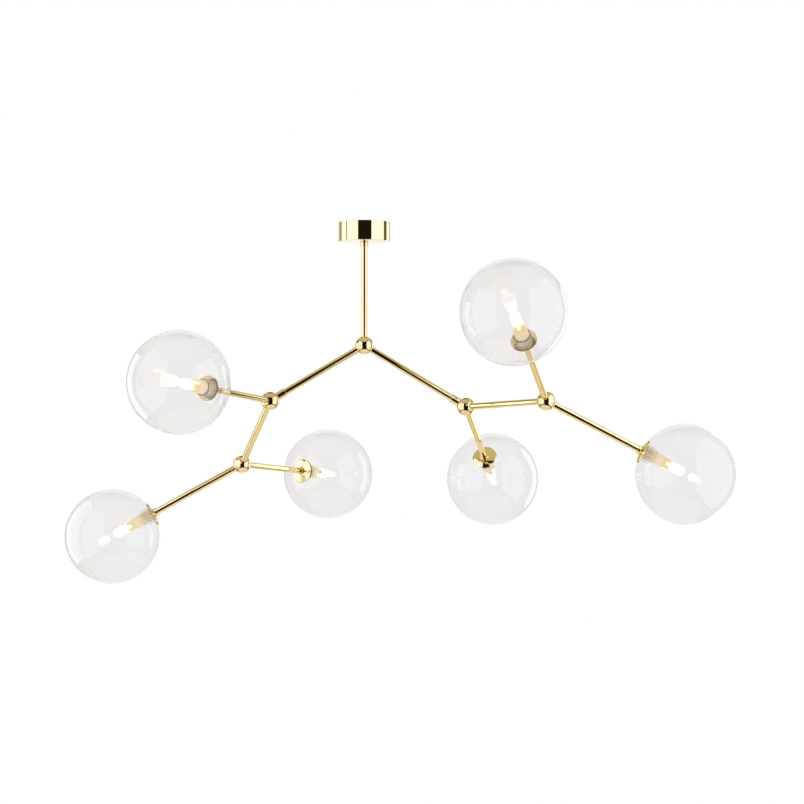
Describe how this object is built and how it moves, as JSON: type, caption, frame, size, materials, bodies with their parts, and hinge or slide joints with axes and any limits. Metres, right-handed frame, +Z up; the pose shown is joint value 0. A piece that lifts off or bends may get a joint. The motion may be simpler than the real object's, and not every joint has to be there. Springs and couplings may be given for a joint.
{
  "type": "multi arm chandelier",
  "caption": "Branching ceiling chandelier: polished brass tubes meet at ball joints, two branches swivel, and each lamp arm ends in a clear glass globe round a small capsule bulb.",
  "frame": {"origin": "centre of the ceiling plate's top face, which rests on the ceiling, on the stem's axis", "axes": "+Z up along the stem, +X to the right as seen from the front, -Y towards the side it is seen from"},
  "size_m": [1.0268, 0.7653, 0.5642],
  "materials": {
    "brass": "mirror polished, lacquered",
    "globe_glass": "clear blown glass",
    "bulb_glass": "clear capsule, lit warm white",
    "ceramic": "cream, unglazed",
    "steel": "zinc plated",
    "terminal_plastic": "moulded",
    "wire_silicone": "silicone sheath"
  },
  "bodies": {
    "frame": {"ceiling_plate": "steel", "terminal_block": "terminal_plastic", "stem_nipple": "steel", "stem_lock_nut": "steel", "stem_tube": "brass", "hub_ball": "brass", "left_main_arm": "brass", "right_main_arm": "brass", "stem_wiring": "wire_silicone"},
    "canopy": {"canopy_cover": "brass", "canopy_collar": "brass", "canopy_grub_screw": "steel"},
    "left_branch": {"left_swivel_collar": "brass", "left_swivel_screw": "steel", "left_ball": "brass", "left_link_arm": "brass", "lower_left_ball": "brass", "left_wiring": "wire_silicone", "upper_left_arm": "brass", "upper_left_disc": "brass", "upper_left_sleeve": "brass", "upper_left_holder": "ceramic", "lower_left_arm": "brass", "lower_left_disc": "brass", "lower_left_sleeve": "brass", "lower_left_holder": "ceramic", "inner_left_arm": "brass", "inner_left_disc": "brass", "inner_left_sleeve": "brass", "inner_left_holder": "ceramic"},
    "right_branch": {"right_swivel_collar": "brass", "right_swivel_screw": "steel", "right_ball": "brass", "right_link_arm": "brass", "far_right_ball": "brass", "right_wiring": "wire_silicone", "upper_right_arm": "brass", "upper_right_disc": "brass", "upper_right_sleeve": "brass", "upper_right_holder": "ceramic", "inner_right_arm": "brass", "inner_right_disc": "brass", "inner_right_sleeve": "brass", "inner_right_holder": "ceramic", "far_right_arm": "brass", "far_right_disc": "brass", "far_right_sleeve": "brass", "far_right_holder": "ceramic"},
    "upper_left_globe": {"upper_left_globe": "globe_glass"},
    "upper_left_bulb": {"upper_left_bulb": "bulb_glass"},
    "lower_left_globe": {"lower_left_globe": "globe_glass"},
    "lower_left_bulb": {"lower_left_bulb": "bulb_glass"},
    "inner_left_globe": {"inner_left_globe": "globe_glass"},
    "inner_left_bulb": {"inner_left_bulb": "bulb_glass"},
    "upper_right_globe": {"upper_right_globe": "globe_glass"},
    "upper_right_bulb": {"upper_right_bulb": "bulb_glass"},
    "inner_right_globe": {"inner_right_globe": "globe_glass"},
    "inner_right_bulb": {"inner_right_bulb": "bulb_glass"},
    "far_right_globe": {"far_right_globe": "globe_glass"},
    "far_right_bulb": {"far_right_bulb": "bulb_glass"}
  },
  "joints": [
    {"name": "canopy_slide", "type": "slide", "parent": "frame", "child": "canopy", "axis": [0, 0, 1], "range_m": [-0.12, 0]},
    {"name": "left_swivel", "type": "hinge", "parent": "frame", "child": "left_branch", "pos_m": [-0.1442, -0.02027, -0.27577], "axis": [-0.8532, -0.1199, -0.5075], "range_deg": [-45, 45]},
    {"name": "right_swivel", "type": "hinge", "parent": "frame", "child": "right_branch", "pos_m": [0.15707, 0.00823, -0.28451], "axis": [0.856, 0.0449, -0.515], "range_deg": [-15, 100]},
    {"name": "upper_left_globe_off", "type": "slide", "parent": "left_branch", "child": "upper_left_globe", "axis": [-0.5122, -0.8525, 0.1045], "range_m": [0, 0.07]},
    {"name": "upper_left_bulb_pull", "type": "slide", "parent": "left_branch", "child": "upper_left_bulb", "axis": [-0.5122, -0.8525, 0.1045], "range_m": [0, 0.022]},
    {"name": "lower_left_globe_off", "type": "slide", "parent": "left_branch", "child": "lower_left_globe", "axis": [-0.8719, -0.0686, -0.4848], "range_m": [0, 0.07]},
    {"name": "lower_left_bulb_pull", "type": "slide", "parent": "left_branch", "child": "lower_left_bulb", "axis": [-0.8719, -0.0686, -0.4848], "range_m": [0, 0.022]},
    {"name": "inner_left_globe_off", "type": "slide", "parent": "left_branch", "child": "inner_left_globe", "axis": [0.5643, 0.821, -0.0872], "range_m": [0, 0.07]},
    {"name": "inner_left_bulb_pull", "type": "slide", "parent": "left_branch", "child": "inner_left_bulb", "axis": [0.5643, 0.821, -0.0872], "range_m": [0, 0.022]},
    {"name": "upper_right_globe_off", "type": "slide", "parent": "right_branch", "child": "upper_right_globe", "axis": [-0.2649, -0.8152, 0.515], "range_m": [0, 0.07]},
    {"name": "upper_right_bulb_pull", "type": "slide", "parent": "right_branch", "child": "upper_right_bulb", "axis": [-0.2649, -0.8152, 0.515], "range_m": [0, 0.022]},
    {"name": "inner_right_globe_off", "type": "slide", "parent": "right_branch", "child": "inner_right_globe", "axis": [0.2241, 0.8365, -0.5], "range_m": [0, 0.07]},
    {"name": "inner_right_bulb_pull", "type": "slide", "parent": "right_branch", "child": "inner_right_bulb", "axis": [0.2241, 0.8365, -0.5], "range_m": [0, 0.022]},
    {"name": "far_right_globe_off", "type": "slide", "parent": "right_branch", "child": "far_right_globe", "axis": [0.8858, 0.0464, -0.4617], "range_m": [0, 0.07]},
    {"name": "far_right_bulb_pull", "type": "slide", "parent": "right_branch", "child": "far_right_bulb", "axis": [0.8858, 0.0464, -0.4617], "range_m": [0, 0.022]}
  ]
}
